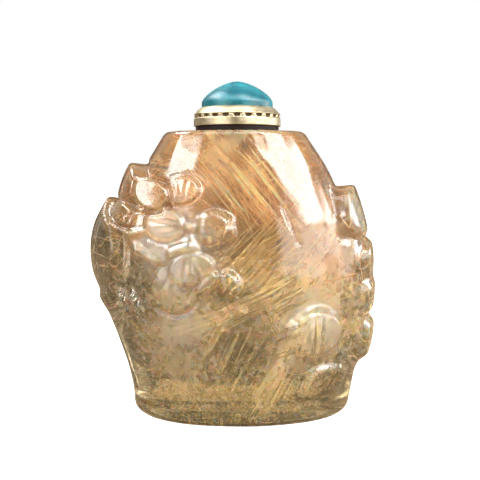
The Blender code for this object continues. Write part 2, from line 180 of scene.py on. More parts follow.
# Fine lines on petals and leaves, in millimetres
VEIN_DEPTH = 0.11
VEIN_WIDTH = 0.2
VEIN_SPREAD = 0.32
SIDE_VEIN_PITCH = 1.1
SIDE_VEIN_SLANT = 1.3
MIDRIB_SHARE = 1.6
SIDE_VEIN_SHARE = 0.8
VEIN_FADE = 0.25
# Facets left on the rocks, and the slight waves of a surface polished by hand
FACET_DEPTH = 0.05
FACET_SIZE = 2.6
WAVE_DEPTH = 0.025
WAVE_SIZE = 9.0
WAVE_TERMS = 7
WAVE_PITCH = (0.7, 1.4)

# The hollow, in millimetres. It closes in at the shoulders to the round mouth. Its stations are the height
# over its floor, half width and half depth.
MOUTH_RADIUS = 3.6
MOUTH_EDGE = 0.25
FLOOR_THICKNESS = 6.0 * MM
HOLLOW_STATIONS = (
    (0, 3, 2),
    (0.6, 8.5, 5),
    (2.6, 12.6, 7.6),
    (7, 15.2, 9.2),
    (14, 16.6, 9.9),
    (21, 16.6, 9.9),
    (27.5, 14.4, 9),
    (32, 10.8, 7.4),
    (35, 7, 5.6),
    (37, 4.4, 4.2),
    (38.4, MOUTH_RADIUS, MOUTH_RADIUS),
)
HOLLOW_SQUARENESS = 2.0

# The stopper, from the bottle's flat top upward. Its pieces rest on each other.
REST_GAP = 0.02 * MM
COLLAR_RADIUS = 7.4 * MM
COLLAR_BOTTOM = BODY_HEIGHT + REST_GAP
COLLAR_EDGE = 0.15 * MM
BEZEL_RADIUS = 7.72 * MM
BEZEL_LIP_RADIUS = 6.85 * MM
BEZEL_BOTTOM = 50.55 * MM
BEZEL_ROW_TOP = 52.6 * MM
BEZEL_ROW_HEIGHT = 0.75 * MM
BEZEL_ROW_DEPTH = 0.35 * MM
BEZEL_TOP = 53.9 * MM
BEZEL_LIP_HEIGHT = 0.35 * MM
BEZEL_FLOOR = 51.6 * MM
BEZEL_EDGE = 0.1 * MM
BEZEL_PIERCINGS = 24
STONE_RADIUS = 6.3 * MM
STONE_BOTTOM = 51.8 * MM
STONE_GIRDLE = 54.7 * MM
STONE_TOP = 58.5 * MM
STONE_ROUNDNESS = 1.5
STONE_ROWS = 40
STONE_EDGE = 0.3 * MM
CORK_TOP_RADIUS = 3.35 * MM
CORK_END_RADIUS = 3.0 * MM
CORK_LENGTH = 5.2 * MM
CORK_EDGE = 0.3 * MM
TURNED_SEGMENTS = 192
CORK_SEGMENTS = 96
PIERCING_SEGMENTS = 14
# The longest step along a profile, and the largest share of a line that one rounded corner takes
BEZEL_STEP = 0.12 * MM
STONE_STEP = 0.25 * MM
CORK_STEP = 0.15 * MM
CORNER_SHARE = 0.45
# Turned pieces are rings, so they leave this much round the axis, which a point at each end closes
AXIS_HOLE = 0.05 * MM
# The bezel's pierced row: half width of a hole and of the bead beside it, as a share of the pitch, their
# half height as a share of the row's, and how softly each ends; the depth of the holes, from what depth
# they are painted dark as shade, and how far the beads stand out of the row
PIERCING = (0.62, 0.85, 0.3)
BEAD = (0.34, 0.8, 0.6)
PIERCING_DEPTH = 0.35 * MM
PIERCING_DARK = 0.12 * MM
BEAD_SHARE = 0.7
# The cork's pits, in millimetres
PIT_SIZE = 0.9
PIT_DEPTH = 0.12
PIT_THRESHOLD = 0.4

# Rutile needles sealed in the stone. Ends are millimetres to the right of the middle and up, as seen from
# the front, spread is how far apart the needles of one bundle start, and fan how many degrees their
# directions vary.
Bundle = namedtuple("Bundle", "start end spread fan depth count radius")
BUNDLES = [Bundle(*row) for row in (
    # down across the upper middle
    ((-4.5, 47.5), (4, 37.5), 5, 14, (0.8, 4), 60, 0.075),
    ((0.5, 44), (5.5, 33.5), 4, 22, (0.8, 4.5), 40, 0.075),
    ((-1.5, 40), (4.5, 43.5), 4, 20, (1.5, 4.5), 18, 0.060),
    # the fan that rises to the right under the shoulder
    ((-2, 24.5), (7.5, 33.8), 3.2, 10, (0.7, 3.5), 46, 0.098),
    ((3, 22), (12.5, 29.5), 3.5, 16, (0.8, 4), 34, 0.083),
    # the long ones that fall to the left
    ((11.5, 25.4), (-4.5, 18), 1.6, 5, (0.6, 2.6), 22, 0.112),
    ((8.5, 23), (-13, 16), 1.2, 4, (0.8, 3), 12, 0.090),
    # the steep ones down to the foot
    ((10.8, 17.2), (1.6, 1.2), 1.6, 5, (0.6, 2.6), 20, 0.120),
    ((-1.4, 19.2), (-5.4, 12.4), 0.8, 4, (0.5, 1.8), 9, 0.128),
    ((8, 9), (3.2, 0.9), 0.9, 4, (0.5, 2), 8, 0.105),
    # the tangle over the boulder, and the upright ones in it
    ((7.5, 21), (13, 27), 4, 40, (0.7, 4), 50, 0.090),
    ((9.5, 21), (17, 23.5), 3.5, 35, (0.7, 4), 40, 0.090),
    ((7.4, 17.4), (4.4, 21), 1.6, 14, (0.5, 2), 14, 0.120),
    ((13.4, 18.2), (12.6, 12), 2.8, 7, (0.4, 1.6), 20, 0.128),
    # down the right
    ((13, 28), (15.5, 20.5), 4, 30, (0.8, 4), 30, 0.083),
)]
LOOSE_NEEDLES = 400
LOOSE_LENGTH = (5.0, 20.0)
LOOSE_RADIUS = (0.03, 0.075)
NEEDLE_CLEARANCE = 0.22 * MM
NEEDLE_SAMPLES = 26
SHORTEST_NEEDLE = 1.6 * MM
NEEDLE_SIDES = 4
NEEDLE_TAPER = 0.12
# How a bundle's needles vary: half length and thickness as shares of the bundle's own, tilt out of plane,
# and the shares of the bundle's spread and fan that are usual
NEEDLE_REACH = (0.3, 0.62)
NEEDLE_THICKNESS = (0.5, 1.25)
NEEDLE_TILT = 0.06
USUAL_SPREAD = 0.5
USUAL_FAN = 0.6

# Veils of small flakes where old cracks have healed: middle, half sizes, count
Veil = namedtuple("Veil", "middle size count")
VEILS = [Veil(*row) for row in (
    ((-11, -13, 16), (6, 3, 7), 900),
    ((-8, -12, 6.5), (12, 3.5, 5.5), 800),
    ((-9, -14.5, 28), (8, 3, 8), 1100),
    ((8, -12, 6.5), (12, 3.5, 5.5), 700),
    ((13, -14.5, 17), (4.5, 2.5, 5), 900),
    ((1, -13.5, 13), (8, 2.5, 7), 800),
    ((17, -8.5, 24), (4.5, 3, 8), 220),
    ((0, 11.5, 18), (16, 2.5, 14), 700),
    ((0, -12, 4.6), (19, 3, 3.6), 1500),
)]
FLAKE_SIZE = (0.10, 0.34)
# A flake's half thickness and the ragged reach of its corners, as shares of its size, the number of its
# corners, and how much it turns its face to each axis
FLAKE_THICKNESS = 0.08
FLAKE_REACH = (0.55, 1.0)
FLAKE_CORNERS = (5, 8)
FLAKE_FACING = (0.6, 1.0, 0.6)

# The camera, at the photograph's distance, height and slope
CAMERA_PLACE = (0.5 * MM, -139.0 * MM, 43.0 * MM)
CAMERA_SLOPE = math.radians(5.24)
IMAGE_WIDTH = 480
FOCAL_PIXELS = 772.2
SENSOR_WIDTH = 36.0

SEED = 11


def smooth_step(t):
    t = np.clip(t, 0, 1)
    return t * t * (3 - 2 * t)


def smooth_curve(stations, heights):
    """The stations' values at each height, along a smooth curve through the stations."""
    table = np.array(stations, float)
    known, values = table[:, 0], table[:, 1:]
    slopes = np.gradient(values, known, axis=0)
    place = np.clip(np.searchsorted(known, heights, side="right") - 1, 0, len(known) - 2)
    span = (known[place + 1] - known[place])[:, None]
    t = np.clip((heights - known[place])[:, None] / span, 0, 1)
    return (
        values[place] * (2 * t**3 - 3 * t**2 + 1)
        + slopes[place] * span * (t**3 - 2 * t**2 + t)
        + values[place + 1] * (3 * t**2 - 2 * t**3)
        + slopes[place + 1] * span * (t**3 - t**2)
    )


def oval(left, right, depth, squareness, columns, inset=0.0):
    """An oval cut across the body, with its points evenly spaced.

    It runs from the middle of the back by the left to the front. Returns its points and how far round
    each one lies from the middle of the front and of the back, positive to the right of someone who
    faces that side.
    """
    turn = np.linspace(-math.pi, math.pi, 8 * columns + 1)
    power = 2 / squareness
    across = np.sign(np.sin(turn)) * np.abs(np.sin(turn)) ** power
    x = across * np.where(across < 0, left, right)
    y = -np.sign(np.cos(turn)) * np.abs(np.cos(turn)) ** power * depth
    travelled = np.concatenate([[0], np.cumsum(np.hypot(np.diff(x), np.diff(y)))])
    even = np.linspace(0, travelled[-1], columns + 1)[:-1]
    points = np.stack([np.interp(even, travelled, x), np.interp(even, travelled, y)], axis=1)
    if inset:
        along = np.roll(points, -1, axis=0) - np.roll(points, 1, axis=0)
        along /= np.linalg.norm(along, axis=1, keepdims=True)
        points += inset * np.stack([-along[:, 1], along[:, 0]], axis=1)
    front = even - np.interp(0, turn, travelled)
    back = np.where(even < travelled[-1] / 2, even, even - travelled[-1])
    return points, front, back


def body_rows():
    """Height and inset of each row of points up the body, round its foot edge and its top edge."""
    quarter = np.linspace(0, math.pi / 2, EDGE_ROWS + 1)[:-1]
    curve = [(1 - math.cos(turn), 1 - math.sin(turn)) for turn in quarter]
    foot = [(FOOT_EDGE_RADIUS * rise, FOOT_EDGE_RADIUS * inset) for rise, inset in curve]
    side = np.linspace(FOOT_EDGE_RADIUS, BODY_HEIGHT - TOP_EDGE_RADIUS, SIDE_ROWS)
    top = [(BODY_HEIGHT - TOP_EDGE_RADIUS * rise, TOP_EDGE_RADIUS * inset) for rise, inset in curve[::-1]]
    return [*foot, *((height, 0.0) for height in side), *top]


def plain_body():
    """The uncarved body's points, row by row, and how far round from the front and the back each lies."""
    rows = body_rows()
    heights = np.array([height for height, _ in rows])
    shape = smooth_curve(BODY_STATIONS, heights / MM)
    points, fronts, backs = [], [], []
    for (height, inset), (left, right, depth, squareness) in zip(rows, shape):
        ring, front, back = oval(left * MM, right * MM, depth * MM, squareness, COLUMNS, inset)
        points.append(np.column_stack([ring, np.full(COLUMNS, height)]))
        fronts.append(front)
        backs.append(back)
    return np.array(points), np.array(fronts), np.array(backs)


def spread(form, along, across):
    """How near each place is to the form's outline: 0 at its middle, 1 on the outline, more beyond it."""
    along, across = along / form.reach, across / form.breadth
    if form.point:
        # two arcs that cross at the form's ends
        slim = form.breadth / form.reach
        radius = (1 + slim**2) / (2 * slim)
        away = np.hypot(along, np.abs(across) * slim + radius - slim)
        return 1 + (away - radius) / slim
    square = form.square
    out = (np.abs(along) ** square + np.abs(across) ** square) ** (1 / square)
    bearing = np.arctan2(across, along)
    outline = 1 - form.notch * (np.exp(-((bearing / NOTCH_WIDTH) ** 2)) + 1 - np.cos(bearing))
    shift = form.around + form.up
    outline += form.rough * (np.sin(3 * bearing + shift) + 0.7 * np.sin(5 * bearing + 2 * shift))
    return out / outline


def waves(places, size, seed):
    """A smooth uneven field from -1 to 1 over places in millimetres, with lumps about that size."""
    rng = np.random.default_rng(seed)
    total = np.zeros(places.shape[:-1])
    for _ in range(WAVE_TERMS):
        direction = rng.normal(size=3)
        direction /= np.linalg.norm(direction)
        travel = 2 * math.pi * (places @ direction) / size
        total += np.sin(travel * rng.uniform(*WAVE_PITCH) + rng.uniform(0, 7))
    return total / math.sqrt(WAVE_TERMS)


def vein_lines(form, along, across, out):
    """Fine sunk lines on a petal or leaf: a fan from its inner end, or a midrib with side veins."""
    fade = smooth_step((RIM_PLACE - out) / VEIN_FADE)
    if form.point:
        midrib = np.exp(-((across / VEIN_WIDTH) ** 2))
        slanted = (along - np.abs(across) * SIDE_VEIN_SLANT) / SIDE_VEIN_PITCH
        side = np.exp(-(((slanted - np.round(slanted)) * SIDE_VEIN_PITCH / VEIN_WIDTH) ** 2))
        return fade * VEIN_DEPTH * (MIDRIB_SHARE * midrib + SIDE_VEIN_SHARE * side)
    root = along + form.reach
    bearing = np.arctan2(across, np.maximum(root, 0.01)) / VEIN_SPREAD
    nearest = np.clip(np.round(bearing), -(form.veins // 2), form.veins // 2)
    away = (bearing - nearest) * VEIN_SPREAD * root
    return fade * smooth_step(root / 2) * VEIN_DEPTH * np.exp(-((away / VEIN_WIDTH) ** 2))


def carve(relief, around, up, form):
    """The relief, in millimetres, with one more form raised over it."""
    turn = math.radians(form.turn)
    along = (around - form.around) * math.cos(turn) + (up - form.up) * math.sin(turn)
    across = (up - form.up) * math.cos(turn) - (around - form.around) * math.sin(turn)
    out = spread(form, along, across)
    beyond = (out - 1) * min(form.reach, form.breadth)
    own = form.level + form.lean * np.clip(along / form.reach, -1, 1)
    own += form.swell * np.sqrt(np.clip(1 - out**2, 0, 1))
    own += form.rim * np.exp(-(((out - RIM_PLACE) / RIM_WIDTH) ** 2))
    if form.veins:
        own -= vein_lines(form, along, across, out)
    if form.rough:
        flat = np.stack([around, up, np.full(around.shape, form.around)], axis=-1)
        own += FACET_DEPTH * np.abs(waves(flat, FACET_SIZE, 5)) * smooth_step((1 - out) / 0.3)
    ground = relief - form.channel * np.exp(-((np.clip(beyond, 0, None) / CHANNEL_WIDTH) ** 2))
    return ground + (own - ground) * smooth_step(-beyond / form.edge)


def incise(relief, around, up, start, end, width, depth):
    """The relief with one stroke cut into it, or raised on it by a depth below zero."""
    run = np.subtract(end, start)
    share = np.clip(((around - start[0]) * run[0] + (up - start[1]) * run[1]) / (run @ run), 0, 1)
    away = np.hypot(around - start[0] - share * run[0], up - start[1] - share * run[1])
    return relief - depth * np.exp(-((away / width) ** 2))


def back_blossom():
    """Five cupped petals round a small boss."""
    middle, height = BACK_BLOSSOM
    forms = []
    for petal in range(5):
        turn = 90 + 72 * petal
        around = middle + BACK_BLOSSOM_RADIUS * math.cos(math.radians(turn))
        up = height + BACK_BLOSSOM_RADIUS * math.sin(math.radians(turn))
        petal_form = Form(around, up, *BACK_PETAL, turn, level=0.8, swell=0.1, lean=0.2, rim=0.4, notch=0.08)
        forms.append(petal_form._replace(veins=5))
    forms.append(Form(middle, height, 1.5, 1.5, 0, level=0.9, swell=0.6))
    return forms


def carved_body():
    """The body's points with the carving raised along the surface's own direction."""
    points, front, back = plain_body()
    heights = points[:, :, 2]
    up = heights / MM
    relief = np.zeros(heights.shape)
    for form in BLOSSOM_AND_LEAVES + ROCKS:
        relief = carve(relief, front / MM, up, form)
    for form in back_blossom() + list(BACK_FORMS):
        relief = carve(relief, back / MM, up, form)
    for start, end in STROKES:
        relief = incise(relief, front / MM, up, start, end, STROKE_WIDTH, STROKE_DEPTH)
    for start, end in RIDGES:
        relief = incise(relief, front / MM, up, start, end, RIDGE_WIDTH, -RIDGE_HEIGHT)
    for start, full in (CARVING_LOW, CARVING_HIGH):
        relief *= smooth_step((heights - start) / (full - start))
    relief += WAVE_DEPTH * waves(points / MM, WAVE_SIZE, SEED)
    along = np.roll(points, -1, axis=1) - np.roll(points, 1, axis=1)
    outward = np.cross(along, np.gradient(points, axis=0))
    outward /= np.linalg.norm(outward, axis=2, keepdims=True)
    carved = points + outward * relief[:, :, None] * MM
    low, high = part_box("bottle")
    return np.clip(carved, low, high)


def hollow_rings():
    """Rings down the inside, from the mouth's edge at the flat top to the floor of the hollow."""
    edge = MOUTH_EDGE * MM
    ovals = []
    for turn in np.linspace(0, math.pi / 2, EDGE_ROWS):
        radius = MOUTH_RADIUS * MM + edge * (1 - math.sin(turn))
        ovals.append((BODY_HEIGHT - edge * (1 - math.cos(turn)), radius, radius))
    heights = np.linspace(HOLLOW_STATIONS[-1][0], 0, HOLLOW_ROWS)
    for height, (width, depth) in zip(heights, smooth_curve(HOLLOW_STATIONS, heights)):
        ovals.append((FLOOR_THICKNESS + height * MM, width * MM, depth * MM))
    rings = []
    for height, width, depth in ovals:
        ring, *_ = oval(width, width, depth, HOLLOW_SQUARENESS, COLUMNS)
        rings.append(np.column_stack([ring, np.full(COLUMNS, height)]))
    return rings


def new_mesh(name, points, faces):
    mesh = bpy.data.meshes.new(name)
    mesh.from_pydata(points, [], faces)
    return mesh


def new_object(name, data, *materials):
    for material in materials:
        data.materials.append(material)
    made = bpy.data.objects.new(name, data)
    bpy.context.scene.collection.objects.link(made)
    return made


def ring_mesh(name, rings):
    """A closed mesh through rings of points that run anticlockwise from above, with a point at each end.

    The faces between ring n and ring n + 1 come one after another, starting with the cap below ring 0.
    """
    rings = [np.asarray(ring) for ring in rings]
    count = len(rings[0])
    points = np.concatenate([[rings[0].mean(axis=0)], *rings, [rings[-1].mean(axis=0)]])
    step = np.arange(count)
    after = (step + 1) % count
    faces = [(0, 1 + b, 1 + a) for a, b in zip(step, after)]
    for row in range(len(rings) - 1):
        low = 1 + row * count
        high = low + count
        faces += zip(low + step, low + after, high + after, high + step)
    last = 1 + (len(rings) - 1) * count
    faces += [(last + a, last + b, len(points) - 1) for a, b in zip(step, after)]
    mesh = new_mesh(name, points.tolist(), [tuple(int(i) for i in face) for face in faces])
    mesh.shade_smooth()
    return mesh


def add_piece(name, mesh, slot, *materials):
    """A piece of the object that rides on its one body."""
    piece = new_object(name, mesh, *materials)
    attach(piece, "root")
    return piece


def make_stone(polished, matte):
    outer = carved_body()
    inner = hollow_rings()
    mesh = ring_mesh("quartz_body", [*outer, *inner])
    # an end cap has one face for each column, as a row between two rings does
    in_hollow = np.zeros(len(mesh.polygons), np.int32)
    in_hollow[COLUMNS * (len(outer) + EDGE_ROWS):] = 1
    mesh.polygons.foreach_set("material_index", in_hollow)
    stone = add_piece("quartz_body", mesh, "quartz", polished, matte)
    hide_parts("bottle")
    return stone


def turned_rings(profile, segments, wobble=None):
    """Rings round the upright axis for a profile of radius and height, with the radius changed by wobble."""
    angles = np.linspace(0, 2 * math.pi, segments + 1)[:-1]
    rings = []
    for radius, height in profile:
        radii = np.full(segments, radius) if wobble is None else wobble(angles, radius, height)
        column = np.full(segments, height)
        rings.append(np.column_stack([radii * np.cos(angles), radii * np.sin(angles), column]))
    return rings


def rounded(profile, edge, steps=4):
    """The profile with each corner but its ends rounded to that radius."""
    made = [profile[0]]
    for before, corner, after in zip(profile, profile[1:], profile[2:]):
        corner = np.array(corner)
        ways = [np.array(other) - corner for other in (before, after)]
        reach = [min(edge, CORNER_SHARE * np.linalg.norm(way)) for way in ways]
        start, end = [corner + way / np.linalg.norm(way) * far for way, far in zip(ways, reach)]
        for t in np.linspace(0, 1, steps):
            made.append(tuple((1 - t) ** 2 * start + 2 * t * (1 - t) * corner + t**2 * end))
    made.append(profile[-1])
    return made


def filled_in(profile, longest):
    """The profile with points added so that no step is longer than that."""
    made = [profile[0]]
    for start, end in zip(profile, profile[1:]):
        steps = max(1, math.ceil(math.dist(start, end) / longest))
        for step in range(1, steps + 1):
            made.append(tuple(np.add(start, np.subtract(end, start) * step / steps)))
    return made


def make_collar(made_of):
    profile = [
        (AXIS_HOLE, COLLAR_BOTTOM),
        (COLLAR_RADIUS, COLLAR_BOTTOM),
        (COLLAR_RADIUS, BEZEL_BOTTOM - REST_GAP),
        (AXIS_HOLE, BEZEL_BOTTOM - REST_GAP),
    ]
    rings = turned_rings(rounded(profile, COLLAR_EDGE), TURNED_SEGMENTS)
    collar = add_piece("collar_disc", ring_mesh("collar_disc", rings), "collar", made_of)
    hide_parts("stopper_collar")


def pierced(angles, radius, height):
    """The bezel's radius round one height: the sunk row has oval holes between raised beads."""
    row_middle = BEZEL_ROW_TOP - BEZEL_ROW_HEIGHT / 2
    up = (height - row_middle) / (BEZEL_ROW_HEIGHT / 2)
    if radius < BEZEL_LIP_RADIUS or abs(up) > 1:
        return np.full(len(angles), radius)
    share = angles * BEZEL_PIERCINGS / (2 * math.pi)
    across = np.abs(share - np.round(share)) * 2
    hole, bead = [
        smooth_step((1 - np.hypot(along / width, up / half_height)) / softness)
        for along, (width, half_height, softness) in ((across, PIERCING), (1 - across, BEAD))
    ]
    return radius - hole * PIERCING_DEPTH + bead * (BEZEL_RADIUS - radius) * BEAD_SHARE


def make_bezel(gilt, dark):
    """A cup: a plain band, the pierced row over it, a sloping band, and the lip round the stone."""
    inner = STONE_RADIUS + REST_GAP
    sunk = BEZEL_RADIUS - BEZEL_ROW_DEPTH / 2
    row_bottom = BEZEL_ROW_TOP - BEZEL_ROW_HEIGHT
    profile = [
        (AXIS_HOLE, BEZEL_BOTTOM),
        (BEZEL_RADIUS, BEZEL_BOTTOM),
        (BEZEL_RADIUS, row_bottom),
        (sunk, row_bottom + BEZEL_EDGE),
        (sunk, BEZEL_ROW_TOP - BEZEL_EDGE),
        (BEZEL_RADIUS, BEZEL_ROW_TOP),
        (BEZEL_LIP_RADIUS, BEZEL_TOP - BEZEL_LIP_HEIGHT),
        (inner, BEZEL_TOP),
        (inner, BEZEL_FLOOR),
        (AXIS_HOLE, BEZEL_FLOOR),
    ]
    fine = filled_in(rounded(profile, BEZEL_EDGE), BEZEL_STEP)
    segments = BEZEL_PIERCINGS * PIERCING_SEGMENTS
    mesh = ring_mesh("bezel_cup", turned_rings(fine, segments, pierced))
    # faces deep in the row's holes take the dark finish: painted shade for the holes
    for face in mesh.polygons:
        away = math.hypot(face.center.x, face.center.y)
        in_row = row_bottom < face.center.z < BEZEL_ROW_TOP
        if in_row and BEZEL_LIP_RADIUS < away < sunk - PIERCING_DARK:
            face.material_index = 1
    bezel = add_piece("bezel_cup", mesh, "gilt", gilt, dark)
    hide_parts("stopper_bezel")


def make_cabochon(made_of):
    """A flat base, a short straight girdle and a dome a little more pointed than round."""
    rise = STONE_TOP - STONE_GIRDLE
    profile = [
        (AXIS_HOLE, STONE_BOTTOM),
        (STONE_RADIUS - STONE_EDGE, STONE_BOTTOM),
        (STONE_RADIUS, STONE_BOTTOM + STONE_EDGE),
    ]
    for angle in np.linspace(0, math.pi / 2, STONE_ROWS)[:-1]:
        radius = STONE_RADIUS * math.cos(angle) ** (2 / STONE_ROUNDNESS)
        profile.append((radius, STONE_GIRDLE + rise * math.sin(angle) ** (2 / STONE_ROUNDNESS)))
    profile.append((AXIS_HOLE, STONE_TOP - REST_GAP / 4))
    rings = turned_rings(filled_in(profile, STONE_STEP), TURNED_SEGMENTS)
    cabochon = add_piece("cabochon_dome", ring_mesh("cabochon_dome", rings), "turquoise", made_of)
    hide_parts("stopper_cabochon")


def make_cork(made_of):
    top = BODY_HEIGHT
    end = top - CORK_LENGTH
    profile = [
        (AXIS_HOLE, end),
        (CORK_END_RADIUS, end),
        (CORK_TOP_RADIUS, top),
        (AXIS_HOLE, top),
    ]
    fine = filled_in(rounded(profile, CORK_EDGE), CORK_STEP)

    def pitted(angles, radius, height):
        around = np.stack([np.cos(angles) * radius, np.sin(angles) * radius, angles * 0 + height], axis=1)
        pits = np.clip(waves(around / MM, PIT_SIZE, 3), PIT_THRESHOLD, None) - PIT_THRESHOLD
        return radius - pits * PIT_DEPTH * MM * (radius > CORK_END_RADIUS / 2)

    rings = turned_rings(fine, CORK_SEGMENTS, pitted)
    cork = add_piece("cork_plug", ring_mesh("cork_plug", rings), "cork", made_of)
    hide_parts("stopper_cork")


def is_deep(tree, point, clearance):
    """Whether the point lies in the stone at least that far from its surface, the hollow's included."""
    near, normal, _, away = tree.find_nearest(point)
    return away > clearance and (point - near).dot(normal) < 0


def longest_inside(tree, start, end):
    """The longest stretch from start to end that stays inside the stone, or None."""
    shares = np.linspace(0, 1, NEEDLE_SAMPLES)
    best, run = None, []
    for share in shares:
        if is_deep(tree, start.lerp(end, share), NEEDLE_CLEARANCE):
            run.append(share)
            if best is None or run[-1] - run[0] > best[1] - best[0]:
                best = (run[0], run[-1])
        else:
            run = []
    if best is None or (end - start).length * (best[1] - best[0]) < SHORTEST_NEEDLE:
        return None
    return start.lerp(end, best[0]), start.lerp(end, best[1])


def bundle_needles(rng, bundle):
    """Needles near the front, each with its ends and its radius."""
    middle = (np.array(bundle.start) + bundle.end) / 2
    run = np.subtract(bundle.end, bundle.start)
    length, angle = np.hypot(*run), math.atan2(run[1], run[0])
    for _ in range(bundle.count):
        x, z = middle + rng.normal(size=2) * bundle.spread * USUAL_SPREAD
        turned = angle + math.radians(bundle.fan) * rng.normal() * USUAL_FAN
        half = length * rng.uniform(*NEEDLE_REACH)
        tilt = rng.normal() * NEEDLE_TILT
        depth = rng.uniform(*bundle.depth)
        surface = front_depth(x, z)
        step = Vector((math.cos(turned) * half, tilt * half, math.sin(turned) * half))
        centre = Vector((x, -surface + depth, z))
        radius = bundle.radius * rng.uniform(*NEEDLE_THICKNESS)
        yield (centre - step) * MM, (centre + step) * MM, radius * MM


def front_depth(x, z):
    """How far the uncarved front stands from the middle, in millimetres."""
    left, right, depth, squareness = smooth_curve(BODY_STATIONS, np.array([z]))[0]
    share = min(abs(x) / (left if x < 0 else right), 0.98)
    return depth * (1 - share**squareness) ** (1 / squareness)


def loose_needles(rng):
    """Thinner needles scattered through the whole stone."""
    low, high = (np.array(corner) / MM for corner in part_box("bottle"))
    for _ in range(LOOSE_NEEDLES):
        centre = Vector(rng.uniform(low, high))
        direction = Vector(rng.normal(size=3)).normalized()
        half = direction * rng.uniform(*LOOSE_LENGTH) / 2
        yield (centre - half) * MM, (centre + half) * MM, rng.uniform(*LOOSE_RADIUS) * MM


def ring_round(centre, axis, radii):
    """A point at each of the radii in turn, all the way round an axis of length 1."""
    side = axis.orthogonal().normalized()
    other = axis.cross(side)
    turns = [2 * math.pi * corner / len(radii) for corner in range(len(radii))]
    ways = [side * math.cos(turn) + other * math.sin(turn) for turn in turns]
    return [centre + way * radius for way, radius in zip(ways, radii)]


def needle_shape(start, end, radius, points, faces):
    """Adds one long prism, pointed at both ends."""
    axis = (end - start).normalized()
    first = len(points)
    points.append(start)
    for share in (NEEDLE_TAPER, 1 - NEEDLE_TAPER):
        points += ring_round(start.lerp(end, share), axis, [radius] * NEEDLE_SIDES)
    points.append(end)
    low, high, tip = first + 1, first + 1 + NEEDLE_SIDES, first + 1 + 2 * NEEDLE_SIDES
    for corner in range(NEEDLE_SIDES):
        after = (corner + 1) % NEEDLE_SIDES
        faces.append((first, low + after, low + corner))
        faces.append((low + corner, low + after, high + after, high + corner))
        faces.append((high + corner, high + after, tip))


def make_needles(tree, made_of):
    rng = np.random.default_rng(SEED)
    points, faces = [], []
    wanted = [needle for bundle in BUNDLES for needle in bundle_needles(rng, bundle)]
    for start, end, radius in [*wanted, *loose_needles(rng)]:
        inside = longest_inside(tree, start, end)
        if inside:
            needle_shape(*inside, radius, points, faces)
    add_piece("rutile_needles", new_mesh("rutile_needles", points, faces), "quartz", made_of)


def make_veils(tree, made_of):
    """Small closed flakes, each a flat double pyramid, scattered where the stone is cloudy."""
    rng = np.random.default_rng(SEED + 1)
    points, faces = [], []
    for veil in VEILS:
        for _ in range(veil.count):
            centre = Vector((np.array(veil.middle) + rng.uniform(-1, 1, 3) * veil.size) * MM)
            size = rng.uniform(*FLAKE_SIZE) * MM
            if not is_deep(tree, centre, size + NEEDLE_CLEARANCE):
                continue
            facing = Vector(rng.normal(size=3) * FLAKE_FACING).normalized()
            first = len(points)
            rise = facing * size * FLAKE_THICKNESS
            points += [centre + rise, centre - rise]
            corners = int(rng.integers(*FLAKE_CORNERS))
            radii = [size * rng.uniform(*FLAKE_REACH) for _ in range(corners)]
            points += ring_round(centre, facing, radii)
            for corner in range(corners):
                here, after = first + 2 + corner, first + 2 + (corner + 1) % corners
                faces.append((first, here, after))
                faces.append((first + 1, after, here))
    add_piece("healed_veils", new_mesh("healed_veils", points, faces), "quartz", made_of)


class Nodes:
    """A tree of shader nodes, with short calls for the ones used here."""

    def __init__(self, tree):
        self.tree = tree

    def add(self, kind, output, inputs=(), **values):
        """One output of a new node, whose inputs are given as a dictionary."""
        node = self.tree.nodes.new(kind)
        for name, value in values.items():
            setattr(node, name, value)
        for name, value in dict(inputs).items():
            self.feed(node.inputs[name], value)
        return node.outputs[output]

    def feed(self, socket, value):
        """Links a socket to another's output, or sets it to a plain value."""
        if isinstance(value, bpy.types.NodeSocket):
            self.tree.links.new(value, socket)
        elif isinstance(value, tuple) and len(value) == 3 and socket.type == "RGBA":
            socket.default_value = (*value, 1.0)
        else:
            socket.default_value = value

    def show(self, end, output):
        """Links an output to the surface of the tree's end, the material's or the world's."""
        self.feed(self.tree.nodes[end].inputs["Surface"], output)

    def ramp(self, value, low, high, start=0.0, end=1.0):
        """A value's smooth change from start to end while it goes from low to high."""
        inputs = {"Value": value, "From Min": low, "From Max": high, "To Min": start, "To Max": end}
        return self.add("ShaderNodeMapRange", "Result", inputs, interpolation_type="SMOOTHSTEP")

    def times(self, first, second):
        return self.add("ShaderNodeMath", "Value", {0: first, 1: second}, operation="MULTIPLY")

    def part(self, vector, axis):
        return self.add("ShaderNodeSeparateXYZ", axis, {"Vector": vector})

    def seen_by_camera(self):
        return self.add("ShaderNodeLightPath", "Is Camera Ray")


